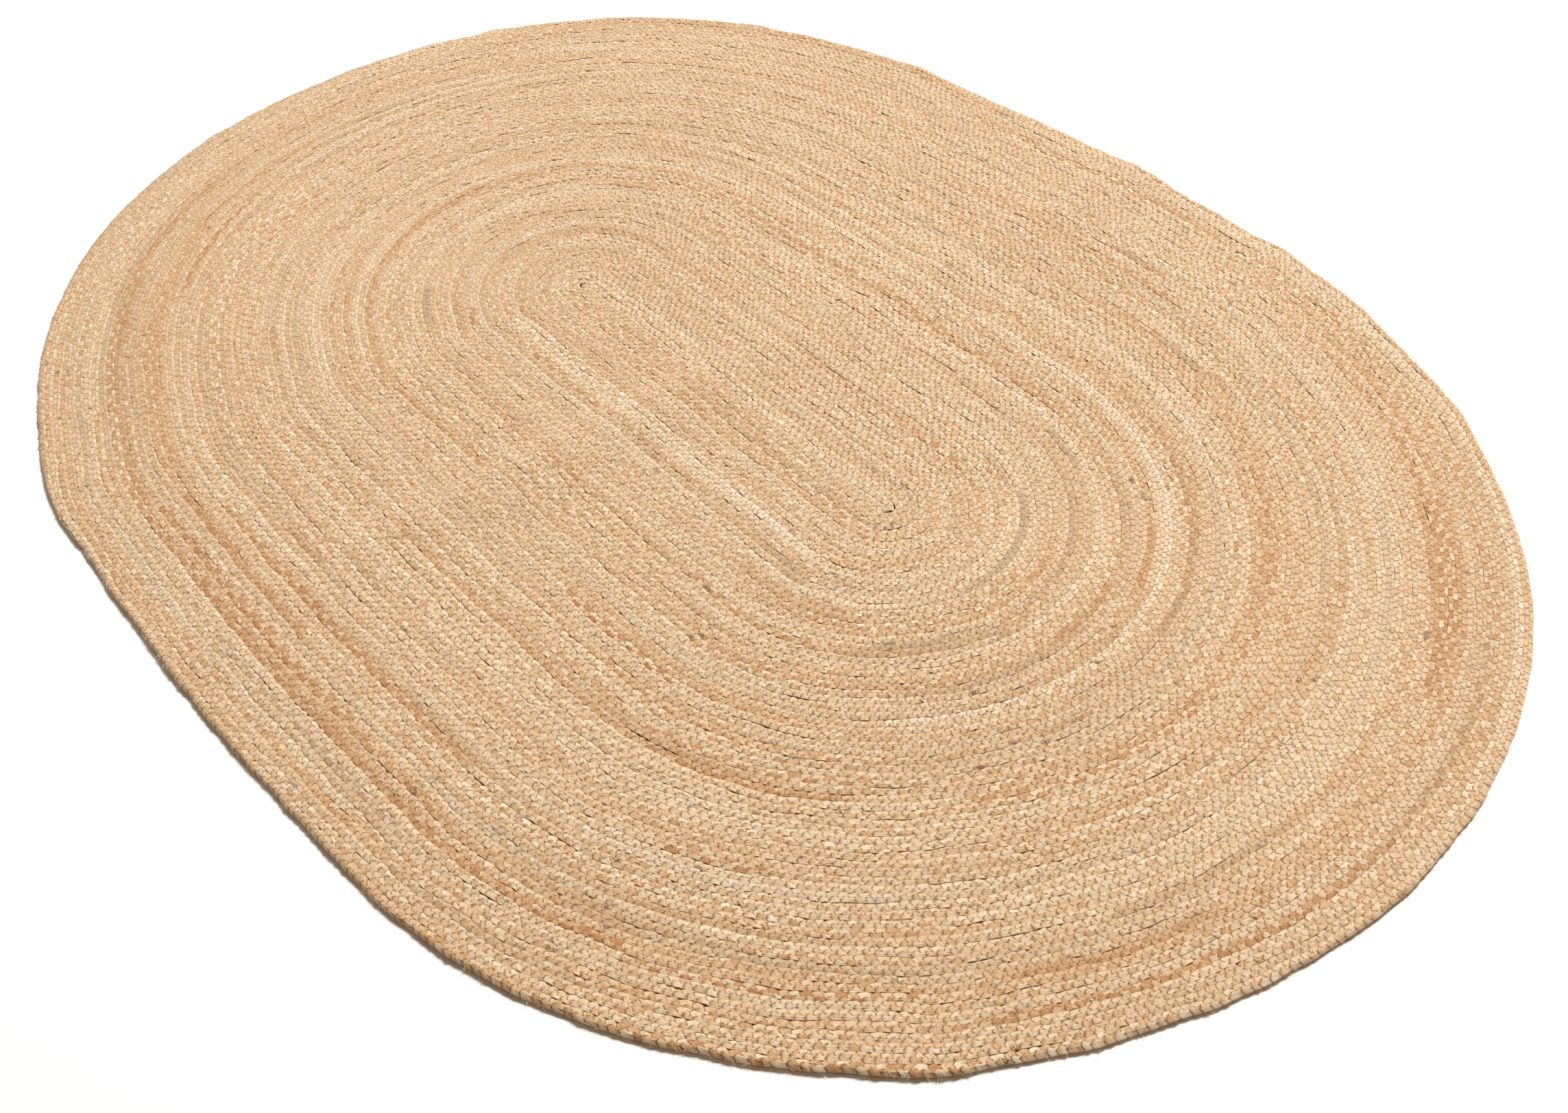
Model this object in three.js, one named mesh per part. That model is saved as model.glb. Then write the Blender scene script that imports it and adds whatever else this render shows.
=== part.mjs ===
// Oval rug of one long flat plait, coiled outward from a straight middle strip and sewn
// to itself edge to edge. It lies flat on a floor and is one solid.
// Millimetres, +Z up, the long way along X. The origin is under the middle of the rug.

import * as THREE from 'three';

// Plait and coil
const STRIP_LENGTH = 657;
const HALF_WIDTH = 800;
const LAPS = 74;
const PLAIT_WIDTH = HALF_WIDTH / LAPS;

// Thickness of the plait at its crest, in the seam between two laps and at the rim
const CREST_HEIGHT = 8;
const SEAM_HEIGHT = 5.8;
const RIM_HEIGHT = 4;
const RIM_UNDERCUT = 2.5;

// The loose end of the plait narrows over its last stretch and is tucked in
const END_STRETCH = 200;
const END_WIDTH_SHARE = 0.15;
const END_CREST_HEIGHT = 6;

// One soft fold crosses the rug. Its crest line is x = FOLD_X + FOLD_SLANT * y
const FOLD_HEIGHT = 8;
const FOLD_X = -30;
const FOLD_SLANT = 0.08;
const FOLD_REACH_LEFT = 60;
const FOLD_REACH_RIGHT = 110;
const FOLD_FULL_FROM_Y = -350;
const FOLD_FAINT_FROM_Y = -700;
const FOLD_FAINT_SHARE = 0.2;

// Places of the points along a straight run, as distances from the crest of the fold
const RUN_PLACES = [-60, 0, 110];
// Steps round a half turn. Each row holds from one row line of the coil to the next row's
const TURN_STEPS = [
  { fromLine: 0, steps: 6 },
  { fromLine: 6, steps: 10 },
  { fromLine: 17, steps: 14 },
  { fromLine: 42, steps: 18 },
];
// The outermost lap follows the lumps of the rim with steps of its own
const RIM_STEP = 42;
const FIRST_RIM_LINE = LAPS - 1;
// Row lines that the flat underside is divided at
const UNDERSIDE_LINES = [50, 20, 0];

// How far the rim wanders out of a true oval, as hand sewing leaves it.
// around: distance round the rim from the front left end of the strip, out: offset outward
const RIM_WAVES = [
  { around: 0, out: 13 },
  { around: 330, out: 28 },
  { around: 700, out: 18 },
  { around: 1100, out: 3 },
  { around: 1500, out: -11 },
  { around: 1760, out: -11 },
  { around: 2080, out: -6 },
  { around: 2350, out: -4 },
  { around: 2650, out: -8 },
  { around: 2950, out: -3 },
  { around: 3250, out: 23 },
  { around: 3560, out: 25 },
  { around: 3850, out: 3 },
  { around: 4150, out: -4 },
  { around: 4450, out: 6 },
  { around: 4800, out: -1 },
  { around: 5150, out: -6 },
  { around: 5600, out: -10 },
  { around: 5900, out: -15 },
  { around: 6100, out: -12 },
  { around: 6250, out: 7 },
];

// Short lumps and dips at the rim, which die away over the outer laps.
// reach: half the length of the lump along the rim
const RIM_LUMPS = [
  { around: 1372, out: 6, reach: 60 },
  { around: 1890, out: 3, reach: 60 },
  { around: 2760, out: 5, reach: 60 },
  { around: 3030, out: 3, reach: 50 },
  { around: 3165, out: 4, reach: 35 },
  { around: 3240, out: -5, reach: 35 },
  { around: 3345, out: -2, reach: 35 },
  { around: 3515, out: 2, reach: 40 },
  { around: 3925, out: 7, reach: 35 },
  { around: 4260, out: 7, reach: 35 },
  { around: 4735, out: 7, reach: 25 },
  { around: 5080, out: -3, reach: 50 },
  { around: 5245, out: -3, reach: 30 },
  { around: 5290, out: 4, reach: 25 },
];
const LUMP_DEPTH = 120;

const ARC_LENGTH = Math.PI * HALF_WIDTH;
const ROUND_LENGTH = 2 * STRIP_LENGTH + 2 * ARC_LENGTH;

// The four sides of a lap, in the order that the plait is wound, with the distance
// round the rim at which each starts
const SIDES = {
  front: { start: 0, length: STRIP_LENGTH },
  right: { start: STRIP_LENGTH, length: ARC_LENGTH },
  back: { start: STRIP_LENGTH + ARC_LENGTH, length: STRIP_LENGTH },
  left: { start: 2 * STRIP_LENGTH + ARC_LENGTH, length: ARC_LENGTH },
};

function smooth(share) {
  const t = THREE.MathUtils.clamp(share, 0, 1);
  return t * t * (3 - 2 * t);
}

// Offset of the long waves, as a smooth closed curve through the rows of the table
function waveOffset(around) {
  const count = RIM_WAVES.length;
  const row = (i) => {
    const turn = Math.floor(i / count);
    const { around: place, out } = RIM_WAVES[i - turn * count];
    return { place: place + turn * ROUND_LENGTH, out };
  };
  let i = count - 1;
  while (RIM_WAVES[i].around > around) i -= 1;
  const [before, from, to, after] = [row(i - 1), row(i), row(i + 1), row(i + 2)];
  const gap = to.place - from.place;
  const slopeFrom = (to.out - before.out) / (to.place - before.place);
  const slopeTo = (after.out - from.out) / (after.place - from.place);
  const t = (around - from.place) / gap;
  const rise = smooth(t);
  const bendFrom = t * (1 - t) * (1 - t) * gap * slopeFrom;
  const bendTo = t * t * (1 - t) * gap * slopeTo;
  return from.out * (1 - rise) + to.out * rise + bendFrom - bendTo;
}

function lumpOffset(around) {
  let out = 0;
  for (const lump of RIM_LUMPS) {
    const apart = Math.abs(around - lump.around);
    const distance = Math.min(apart, ROUND_LENGTH - apart);
    out += lump.out * Math.exp(-((distance / lump.reach) ** 2));
  }
  return out;
}

// Offset outward of a row line. Line 0 is the middle and line LAPS is the rim
function lineOffset(line, around) {
  const place = around % ROUND_LENGTH;
  const inFromRim = (LAPS - line) * PLAIT_WIDTH;
  const lumpShare = Math.exp(-inFromRim / LUMP_DEPTH);
  return (line / LAPS) * (waveOffset(place) + lumpShare * lumpOffset(place));
}

// Height of the soft fold above the floor
function foldLift(x, y) {
  const across = x - FOLD_X - FOLD_SLANT * y;
  const reach = across < 0 ? FOLD_REACH_LEFT : FOLD_REACH_RIGHT;
  if (Math.abs(across) >= reach) return 0;
  const share = smooth((y - FOLD_FAINT_FROM_Y) / (FOLD_FULL_FROM_Y - FOLD_FAINT_FROM_Y));
  const height = FOLD_HEIGHT * (FOLD_FAINT_SHARE + (1 - FOLD_FAINT_SHARE) * share);
  return height * (0.5 + 0.5 * Math.cos((Math.PI * across) / reach));
}

// Place on a row line, seen from above. The plait runs on from lap to lap because the left
// turn has its middle half a plait lower and so carries each lap out by one plait
function placeOnLine(side, line, share, inset = 0) {
  const around = SIDES[side].start + SIDES[side].length * share;
  const shownLine = side === 'left' ? line + share : line;
  const out = line * PLAIT_WIDTH + lineOffset(shownLine, around) - inset;
  const halfStrip = STRIP_LENGTH / 2;
  if (side === 'front') return [-halfStrip + STRIP_LENGTH * share, -out];
  if (side === 'back') return [halfStrip - STRIP_LENGTH * share, out];
  if (side === 'right') {
    const angle = -Math.PI / 2 + Math.PI * share;
    return [halfStrip + out * Math.cos(angle), out * Math.sin(angle)];
  }
  const angle = Math.PI / 2 + Math.PI * share;
  const radius = out + PLAIT_WIDTH / 2;
  return [-halfStrip + radius * Math.cos(angle), -PLAIT_WIDTH / 2 + radius * Math.sin(angle)];
}

// Shares of a side at which a row line has its points
function sharesOnLine(side, line) {
  const onTurn = side === 'left' || side === 'right';
  const atRim = line > FIRST_RIM_LINE;
  if (!onTurn && !atRim) {
    const y = side === 'front' ? -line * PLAIT_WIDTH : line * PLAIT_WIDTH;
    const places = RUN_PLACES.map((place) => FOLD_X + FOLD_SLANT * y + place);
    const shares = places.map((x) => 0.5 + x / STRIP_LENGTH);
    const inOrder = side === 'front' ? shares : shares.map((share) => 1 - share).reverse();
    return [0, ...inOrder, 1];
  }
  let { steps } = TURN_STEPS.findLast(({ fromLine }) => fromLine <= line);
  if (atRim) steps = Math.round(SIDES[side].length / RIM_STEP);
  return Array.from({ length: steps + 1 }, (_, i) => i / steps);
}

// The solid's points and triangles. Points at one place are one point
const points = [];
const triangles = [];
const pointAt = new Map();

function addPoint(x, y, z) {
  const key = [x, y, z].map((value) => Math.round(value * 1000) + 0).join(' ');
  if (!pointAt.has(key)) {
    pointAt.set(key, points.length / 3);
    points.push(x, y, z);
  }
  return pointAt.get(key);
}

function addTriangle(a, b, c) {
  if (a !== b && b !== c && c !== a) triangles.push(a, b, c);
}

// Fills the band between two lines of points, each point with its share along the side.
// The inner or upper line comes first for faces that look up or outward
function fillBand(first, second, turned = false) {
  let i = 0;
  let j = 0;
  while (i < first.length - 1 || j < second.length - 1) {
    const nextFirst = i < first.length - 1 ? first[i + 1].share : Infinity;
    const nextSecond = j < second.length - 1 ? second[j + 1].share : Infinity;
    const third = nextFirst < nextSecond ? first[i + 1].point : second[j + 1].point;
    if (turned) addTriangle(third, second[j].point, first[i].point);
    else addTriangle(first[i].point, second[j].point, third);
    if (nextFirst < nextSecond) i += 1;
    else j += 1;
  }
}

// How wide the plait of the last left turn still is, as a share of its full width
function endWidthShare(share) {
  const fromEnd = (1 - share) * ARC_LENGTH;
  return 1 - (1 - END_WIDTH_SHARE) * smooth(1 - fromEnd / END_STRETCH);
}

// One line of points on the top: a seam or the rim at a whole number, a crest at a half
function topLine(side, line) {
  const lastTurn = side === 'left' && line > LAPS - 1;
  const isRim = line === LAPS;
  const isCrest = line % 1 !== 0;
  return sharesOnLine(side, line).map((share) => {
    const widthShare = lastTurn ? endWidthShare(share) : 1;
    const inset = lastTurn ? (line - LAPS + 1) * PLAIT_WIDTH * (1 - widthShare) : 0;
    const crest = END_CREST_HEIGHT
      + ((CREST_HEIGHT - END_CREST_HEIGHT) * (widthShare - END_WIDTH_SHARE)) / (1 - END_WIDTH_SHARE);
    const startsAtSeam = side === 'front' && isRim && share === 0;
    let height = SEAM_HEIGHT;
    if (isCrest) height = crest;
    else if (isRim && !startsAtSeam) height = RIM_HEIGHT;
    const [x, y] = placeOnLine(side, line, share, inset);
    const [xBelow, yBelow] = placeOnLine(side, line, share, inset + RIM_UNDERCUT);
    const below = isRim ? addPoint(xBelow, yBelow, foldLift(xBelow, yBelow)) : null;
    return { share, point: addPoint(x, y, height + foldLift(x, y)), below };
  });
}

// One line of points on the underside, closed round the rug. Line 0 is the middle of the
// strip, which has no left turn but only its left end
function undersideLine(side, line) {
  const shares = side === 'left' && line === 0 ? [0] : sharesOnLine(side, line);
  return shares.map((share) => {
    const carriedBack = side === 'left' ? line - share : line;
    const [x, y] = placeOnLine(side, carriedBack, share);
    return { share, point: addPoint(x, y, foldLift(x, y)) };
  });
}

// Laps of the plait, each a ridge between two seams, and the rim with the wall below it
function makeTopAndRim() {
  const rim = {};
  const loose = [];
  for (const side of Object.keys(SIDES)) {
    let seam = topLine(side, 0);
    for (let lap = 0; lap < LAPS; lap += 1) {
      const crest = topLine(side, lap + 0.5);
      const nextSeam = topLine(side, lap + 1);
      fillBand(seam, crest);
      fillBand(crest, nextSeam);
      if (lap === LAPS - 1 && side === 'left') loose.push(seam.at(-1), crest.at(-1), nextSeam.at(-1));
      seam = nextSeam;
    }
    rim[side] = seam;
    fillBand(seam, seam.map(({ share, below }) => ({ share, point: below })));
  }
  return { rim, loose };
}

// Round start of the plait, at the left end of the middle strip
function makeStart() {
  const crestStart = topLine('front', 0.5)[0];
  fillBand([crestStart], topLine('left', 0).reverse(), true);
}

// Face across the tucked end of the plait
function makeEnd(loose, rim) {
  const corners = [rim.front[0].below, ...loose.map(({ point }) => point), loose[2].below];
  for (let i = 1; i < corners.length - 1; i += 1) {
    addTriangle(corners[0], corners[i], corners[i + 1]);
  }
}

// Flat underside, from the foot of the rim inward to the middle strip
function makeUnderside(rim) {
  for (const side of Object.keys(SIDES)) {
    let outer = rim[side].map(({ share, below }) => ({ share, point: below }));
    if (side === 'left') outer.push({ share: 1, point: rim.front[0].below });
    for (const line of UNDERSIDE_LINES) {
      const inner = undersideLine(side, line);
      fillBand(inner, outer, true);
      outer = inner;
    }
  }
}

function makeRug() {
  const { rim, loose } = makeTopAndRim();
  makeStart();
  makeEnd(loose, rim);
  makeUnderside(rim);
  const geometry = new THREE.BufferGeometry();
  geometry.setAttribute('position', new THREE.Float32BufferAttribute(points, 3));
  geometry.setIndex(triangles);
  geometry.computeBoundingBox();
  const middle = geometry.boundingBox.getCenter(new THREE.Vector3());
  geometry.translate(-middle.x, -middle.y, 0);
  geometry.computeVertexNormals();
  return geometry;
}

const jute = new THREE.MeshStandardMaterial({ color: '#cda878', roughness: 0.95, metalness: 0 });
const rug = new THREE.Mesh(makeRug(), jute);
rug.name = 'plaited_rug';

const group = new THREE.Group();
group.add(rug);

export default group;
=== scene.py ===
import math

import bpy
import numpy as np
from mathutils import Matrix, Vector


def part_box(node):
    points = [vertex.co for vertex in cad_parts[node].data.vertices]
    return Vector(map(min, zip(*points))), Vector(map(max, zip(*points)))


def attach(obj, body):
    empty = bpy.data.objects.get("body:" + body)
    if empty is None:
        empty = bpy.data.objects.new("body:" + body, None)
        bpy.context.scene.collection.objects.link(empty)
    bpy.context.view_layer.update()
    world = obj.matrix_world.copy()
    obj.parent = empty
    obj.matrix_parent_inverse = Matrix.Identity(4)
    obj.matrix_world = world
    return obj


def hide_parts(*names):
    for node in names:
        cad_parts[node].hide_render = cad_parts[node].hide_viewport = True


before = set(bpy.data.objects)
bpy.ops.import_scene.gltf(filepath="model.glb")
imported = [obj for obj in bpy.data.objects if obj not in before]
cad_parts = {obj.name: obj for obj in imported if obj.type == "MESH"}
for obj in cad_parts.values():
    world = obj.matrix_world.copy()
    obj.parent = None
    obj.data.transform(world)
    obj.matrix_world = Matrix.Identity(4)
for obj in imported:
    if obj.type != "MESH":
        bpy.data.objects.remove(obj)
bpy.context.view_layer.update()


# Camera
# It stands at eye height off the front right side of the rug and looks down across it. The
# lens is a normal one of about 40 mm, so the far end looks clearly smaller than the near one.
CAMERA_TURN = math.radians(50.945)
CAMERA_SLOPE = math.radians(45.480)
CAMERA_ROLL = math.radians(-2.671)
CAMERA_TARGET = Vector((0.3090, -0.1571, 0.008))
CAMERA_DISTANCE = 2.203
FOCAL_LENGTH_PX = 2546
IMAGE_WIDTH_PX = 2287
SENSOR_WIDTH_MM = 36

camera_turning = (
    Matrix.Rotation(CAMERA_TURN, 4, "Z")
    @ Matrix.Rotation(math.pi / 2 - CAMERA_SLOPE, 4, "X")
    @ Matrix.Rotation(CAMERA_ROLL, 4, "Z")
)
bpy.ops.object.camera_add(
    location=CAMERA_TARGET + camera_turning @ Vector((0, 0, CAMERA_DISTANCE)),
    rotation=camera_turning.to_euler(),
)
camera = bpy.context.object
camera.data.sensor_width = SENSOR_WIDTH_MM
camera.data.lens = SENSOR_WIDTH_MM * FOCAL_LENGTH_PX / IMAGE_WIDTH_PX
bpy.context.scene.camera = camera


# Course of the plait
# The rug is one plait, laid round a straight middle strip and sewn to itself edge to edge.
# Each left turn carries it out by one plait's width. These are the sizes of the solid.
STRIP_LENGTH = 0.657
HALF_WIDTH = 0.800
LAPS = 74
PLAIT_WIDTH = HALF_WIDTH / LAPS

# One soft fold runs across the rug, full at the back and faint towards the front
FOLD_HEIGHT = 0.008
FOLD_X = -0.030
FOLD_SLANT = 0.08
FOLD_REACH_LEFT = 0.060
FOLD_REACH_RIGHT = 0.110
FOLD_FULL_FROM_Y = -0.350
FOLD_FAINT_FROM_Y = -0.700
FOLD_FAINT_SHARE = 0.2

# The plait ends in a tail that narrows over its last stretch and is tucked in
END_STRETCH = 0.200
END_WIDTH_SHARE = 0.15
END_HEIGHT_SHARE = 0.75

# Long waves of the rim: distance round the rim from the front left end of the strip, offset outward
RIM_WAVES = np.array((
    (0.000, 0.013),
    (0.330, 0.028),
    (0.700, 0.018),
    (1.100, 0.003),
    (1.500, -0.011),
    (1.760, -0.011),
    (2.080, -0.006),
    (2.350, -0.004),
    (2.650, -0.008),
    (2.950, -0.003),
    (3.250, 0.023),
    (3.560, 0.025),
    (3.850, 0.003),
    (4.150, -0.004),
    (4.450, 0.006),
    (4.800, -0.001),
    (5.150, -0.006),
    (5.600, -0.010),
    (5.900, -0.015),
    (6.100, -0.012),
    (6.250, 0.007),
))

# Short lumps of the rim: distance round the rim, offset outward, reach to either side
RIM_LUMPS = (
    (1.372, 0.006, 0.060),
    (1.890, 0.003, 0.060),
    (2.760, 0.005, 0.060),
    (3.030, 0.003, 0.050),
    (3.165, 0.004, 0.035),
    (3.240, -0.005, 0.035),
    (3.345, -0.002, 0.035),
    (3.515, 0.002, 0.040),
    (3.925, 0.007, 0.035),
    (4.260, 0.007, 0.035),
    (4.735, 0.007, 0.025),
    (5.080, -0.003, 0.050),
    (5.245, -0.003, 0.030),
    (5.290, 0.004, 0.025),
)

# How far in from the rim a lump has mostly faded
LUMP_DEPTH = 0.120

ARC_LENGTH = math.pi * HALF_WIDTH
ROUND_LENGTH = 2 * STRIP_LENGTH + 2 * ARC_LENGTH

# The sides of a lap in the order that the plait takes them: front, right, back and left
SIDES = 4
LEFT = 3
SIDE_LENGTHS = np.array((STRIP_LENGTH, ARC_LENGTH, STRIP_LENGTH, ARC_LENGTH))
SIDE_STARTS = np.cumsum(SIDE_LENGTHS) - SIDE_LENGTHS

# Where each side of each lap starts, as a distance along the middle of the plait. A lap is
# half a plait's width further out on its left turn than on its right one
stretch_lengths = np.array([
    (
        STRIP_LENGTH,
        math.pi * (lap + 0.5) * PLAIT_WIDTH,
        STRIP_LENGTH,
        math.pi * (lap + 1) * PLAIT_WIDTH,
    )
    for lap in range(LAPS)
]).ravel()
stretch_starts = np.cumsum(stretch_lengths) - stretch_lengths
PLAIT_LENGTH = stretch_lengths.sum()
OUTER_LAP_START = stretch_starts[-SIDES]


def smooth(share):
    """A share from 0 to 1 that starts and ends gently"""
    t = np.clip(share, 0, 1)
    return t * t * (3 - 2 * t)


def wave_offset(around):
    """Offset of the long waves, as a smooth closed curve through the rows of the table"""
    places = np.concatenate((
        RIM_WAVES[-2:, 0] - ROUND_LENGTH,
        RIM_WAVES[:, 0],
        RIM_WAVES[:2, 0] + ROUND_LENGTH,
    ))
    offsets = np.concatenate((RIM_WAVES[-2:, 1], RIM_WAVES[:, 1], RIM_WAVES[:2, 1]))
    i = np.searchsorted(places, around, side="right") - 1
    gap = places[i + 1] - places[i]
    slope_from = (offsets[i + 1] - offsets[i - 1]) / (places[i + 1] - places[i - 1])
    slope_to = (offsets[i + 2] - offsets[i]) / (places[i + 2] - places[i])
    t = (around - places[i]) / gap
    rise = smooth(t)
    bend_from = t * (1 - t) * (1 - t) * gap * slope_from
    bend_to = t * t * (1 - t) * gap * slope_to
    return offsets[i] * (1 - rise) + offsets[i + 1] * rise + bend_from - bend_to


def lump_offset(around):
    """Offset of the short lumps of the rim"""
    total = np.zeros_like(around)
    for place, out, reach in RIM_LUMPS:
        apart = np.abs(around - place)
        distance = np.minimum(apart, ROUND_LENGTH - apart)
        total += out * np.exp(-((distance / reach) ** 2))
    return total


def fold_lift(x, y):
    """Height of the soft fold that runs across the rug"""
    across = x - FOLD_X - FOLD_SLANT * y
    reach = np.where(across < 0, FOLD_REACH_LEFT, FOLD_REACH_RIGHT)
    share = smooth((y - FOLD_FAINT_FROM_Y) / (FOLD_FULL_FROM_Y - FOLD_FAINT_FROM_Y))
    height = FOLD_HEIGHT * (FOLD_FAINT_SHARE + (1 - FOLD_FAINT_SHARE) * share)
    rise = 0.5 + 0.5 * np.cos(np.pi * across / reach)
    return np.where(np.abs(across) < reach, height * rise, 0)


def place_along(distance):
    """Lap, side and share of the side at a distance along the plait"""
    stretch = np.searchsorted(stretch_starts, distance, side="right") - 1
    stretch = np.clip(stretch, 0, SIDES * LAPS - 1)
    share = (distance - stretch_starts[stretch]) / stretch_lengths[stretch]
    return stretch // SIDES, stretch % SIDES, share


def on_coil(distance, outward, height):
    """Points of the laid plait, from the distance along it, the distance outward from its
    middle and the height over the floor"""
    lap, side, share = place_along(distance)
    to_end = PLAIT_LENGTH - distance
    narrowing = smooth(1 - to_end / END_STRETCH)
    line = 0.5 + outward / PLAIT_WIDTH
    line = lap + line * (1 - (1 - END_WIDTH_SHARE) * narrowing)
    height = height * (1 - (1 - END_HEIGHT_SHARE) * narrowing)

    around = (SIDE_STARTS[side] + SIDE_LENGTHS[side] * share) % ROUND_LENGTH
    shown_line = np.where(side == LEFT, line + share, line)
    in_from_rim = (LAPS - shown_line) * PLAIT_WIDTH
    lumps = np.exp(-in_from_rim / LUMP_DEPTH) * lump_offset(around)
    out = line * PLAIT_WIDTH + shown_line / LAPS * (wave_offset(around) + lumps)

    half = STRIP_LENGTH / 2
    run = STRIP_LENGTH * share
    right_angle = -math.pi / 2 + math.pi * share
    left_angle = math.pi / 2 + math.pi * share
    left_radius = out + PLAIT_WIDTH / 2
    x = np.choose(side, (
        -half + run,
        half + out * np.cos(right_angle),
        half - run,
        -half + left_radius * np.cos(left_angle),
    ))
    y = np.choose(side, (
        -out,
        out * np.sin(right_angle),
        out,
        -PLAIT_WIDTH / 2 + left_radius * np.sin(left_angle),
    ))
    return np.stack((x, y, height + fold_lift(x, y)), axis=1)


# The solid is centred on its outline, so the same shift is worked out here. The outline is
# the outer side of the last lap and of a stretch before it, up to just before the end
RIM_SAMPLES = 4000
RIM_LEAD_IN = 1.0
RIM_STOPS_SHORT = 0.001
rim_distances = np.linspace(
    OUTER_LAP_START - RIM_LEAD_IN,
    PLAIT_LENGTH - RIM_STOPS_SHORT,
    RIM_SAMPLES,
)
rim_points = on_coil(
    rim_distances,
    np.full(RIM_SAMPLES, PLAIT_WIDTH / 2),
    np.zeros(RIM_SAMPLES),
)
cad_low, cad_high = (Vector(corner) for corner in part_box("plaited_rug"))
RECENTRING = np.array((
    (cad_low.x + cad_high.x - rim_points[:, 0].min() - rim_points[:, 0].max()) / 2,
    (cad_low.y + cad_high.y - rim_points[:, 1].min() - rim_points[:, 1].max()) / 2,
    0,
))

# Sewn by hand, the laps wander a little, each together with its neighbours. Waves that cross
# the rug: wave length, size, and turn of their direction in radians
WANDERS = (
    (0.150, 0.0007, 0.4),
    (0.120, 0.0006, 1.9),
    (0.080, 0.0005, 2.7),
    (0.066, 0.0004, 1.2),
    (0.041, 0.0003, 0.1),
    (0.035, 0.0003, 2.2),
)


def laid(distance, outward, height):
    """Points of the plait as sewn, with the wander of the laps, in the place of the solid"""
    places = on_coil(distance, outward, height)
    x, y = places[:, 0].copy(), places[:, 1].copy()
    for length, size, turn in WANDERS:
        phase = 2 * math.pi * (x * math.cos(turn) + y * math.sin(turn)) / length
        places[:, 0] += size * np.sin(phase)
        places[:, 1] += size * np.cos(phase + turn)
    return places + RECENTRING


# Lengths of plait
# Three soft strands of jute cross over each other, so each edge of the plait shows a row of
# slanting lobes and the two rows meet in a chevron. One lobe is modelled, mirrored into a
# cell of two, and repeated along ten lengths that follow each other round the rug.
LENGTHS = 10
STRANDS = 3

# The cell as modelled, straight along X with its crease at Y = 0. Laid, it takes the lengths
# in the table below
CELL_LENGTH = 0.013
CELL_HALF_WIDTH = 0.00585
CHEVRON_SHEAR = 0.0066
CREASE_HEIGHT = 0.0077
LOBE_HEIGHT = 0.0081
LOBE_GROOVE_DEPTH = 0.0011
LOBE_SHOULDER_DEPTH = 0.0005
SHOULDER_SHIFT = 0.0021
EDGE_HEIGHT = 0.00745
EDGE_GROOVE_INSET = 0.0003
EDGE_GROOVE_DEPTH = 0.0007
FOOT_HALF_WIDTH = 0.0052

# One seeded source of chance serves the whole rug, so that each run gives the same rug
random = np.random.default_rng(74)

# Length of a cell as laid: first lap, last lap, length. The pull of the plait was not even
CELL_LENGTHS = (
    (0, 22, 0.0115),
    (23, 26, 0.0130),
    (27, 37, 0.0114),
    (38, 53, 0.0136),
    (54, 73, 0.0119),
)
PULL_KNOTS_APART = 0.35
PULL_SPREAD = 0.06

# Cells are counted along the plait with a length that follows the pull
COUNTING_STEP = 0.005
distances = np.arange(-PLAIT_WIDTH / 2, PLAIT_LENGTH, COUNTING_STEP)
laps_here = place_along(distances)[0]
cell_lengths = np.full(len(distances), CELL_LENGTHS[0][2])
for first_lap, last_lap, length in CELL_LENGTHS:
    cell_lengths[(laps_here >= first_lap) & (laps_here <= last_lap)] = length
pull_knots = np.arange(-1, PLAIT_LENGTH + 1, PULL_KNOTS_APART)
pulls = random.normal(1, PULL_SPREAD, len(pull_knots))
cell_lengths *= np.interp(distances, pull_knots, pulls)
cell_counts = np.concatenate(((0,), np.cumsum(COUNTING_STEP / cell_lengths)[:-1]))
cells_a_length = STRANDS * math.ceil(cell_counts[-1] / LENGTHS / STRANDS)
cell_counts *= cells_a_length * LENGTHS / cell_counts[-1]


def deselect_all():
    if bpy.context.object and bpy.context.object.mode != "OBJECT":
        bpy.ops.object.mode_set(mode="OBJECT")
    bpy.ops.object.select_all(action="DESELECT")


def select_where(piece, test):
    """Selects the points of the piece in edit mode that pass the test on their place"""
    bpy.ops.object.mode_set(mode="OBJECT")
    for kind in (piece.data.vertices, piece.data.edges, piece.data.polygons):
        kind.foreach_set("select", np.zeros(len(kind), dtype=bool))
    for point in piece.data.vertices:
        point.select = bool(test(point.co))
    bpy.ops.object.mode_set(mode="EDIT")


def move_where(piece, test, by):
    select_where(piece, test)
    bpy.ops.transform.translate(value=by)


# Points nearer to each other than this are one point
TOUCHING = 1e-5


def near(a, b):
    return abs(a - b) < TOUCHING


def places_of_points(mesh):
    """The place of each point of the mesh, a row each"""
    places = np.empty(3 * len(mesh.vertices))
    mesh.vertices.foreach_get("co", places)
    return places.reshape(-1, 3)


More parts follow.
